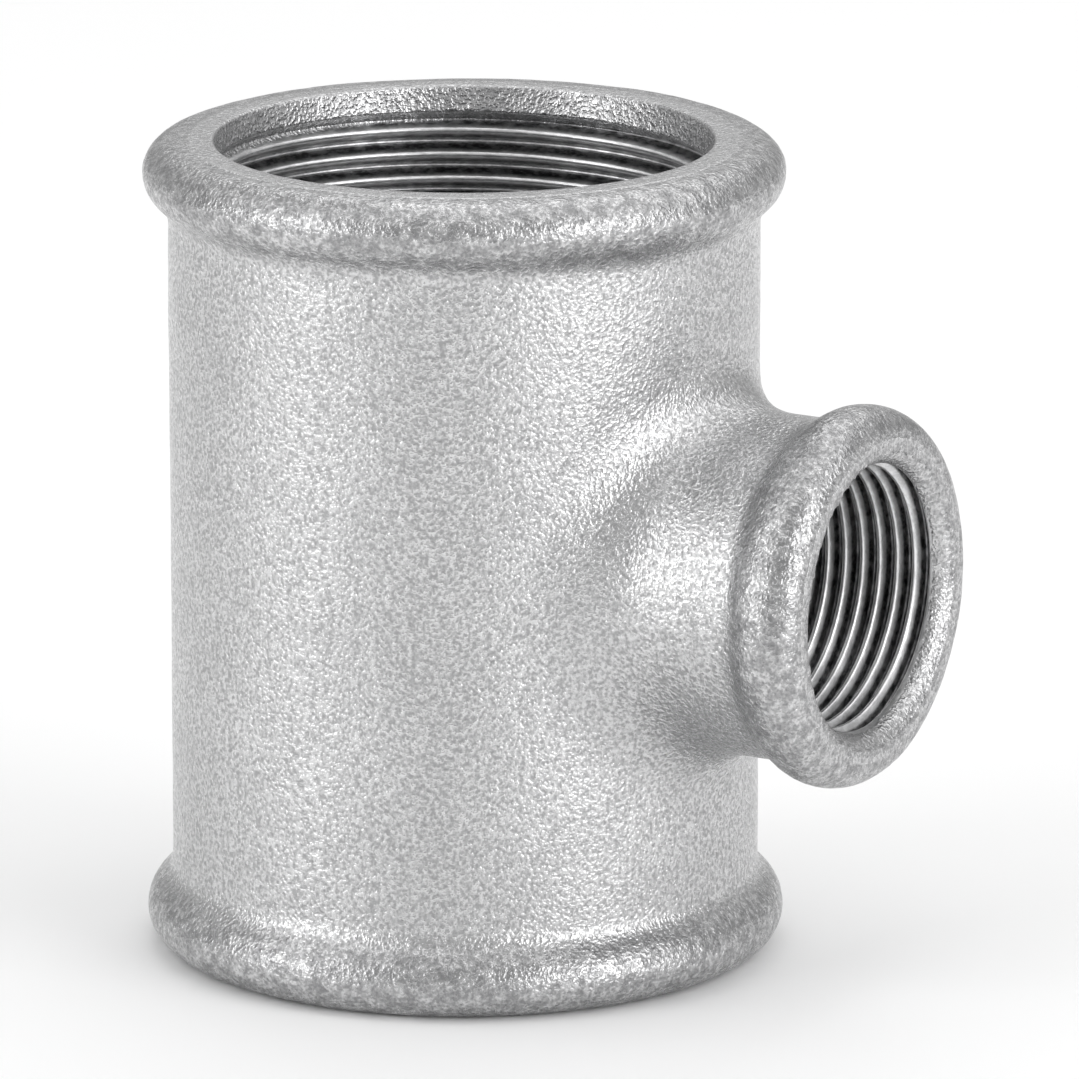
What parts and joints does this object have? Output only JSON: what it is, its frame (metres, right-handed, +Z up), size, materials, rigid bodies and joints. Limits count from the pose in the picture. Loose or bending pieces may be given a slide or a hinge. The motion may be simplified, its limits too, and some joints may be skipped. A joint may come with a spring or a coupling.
{
  "type": "tee fitting",
  "caption": "Beaded reducing tee for pipework: a straight threaded run with a smaller threaded branch at its middle, cast iron with a zinc coat.",
  "frame": {"origin": "centre of the lower end face of the run, on the run axis", "axes": "+Z up along the run, +X along the branch; the branch axis crosses the run at z = 38 mm"},
  "size_m": [0.0736, 0.0592, 0.076],
  "materials": {
    "galvanised_casting": "hot dip zinc coat, grainy satin",
    "cut_thread": "machined, bare metal with a light oil film"
  },
  "bodies": {
    "root": {"run_barrel": "galvanised_casting", "top_bead": "galvanised_casting", "bottom_bead": "galvanised_casting", "branch_neck": "galvanised_casting", "branch_bead": "galvanised_casting", "top_thread": "cut_thread", "bottom_thread": "cut_thread", "branch_thread": "cut_thread"}
  },
  "joints": []
}
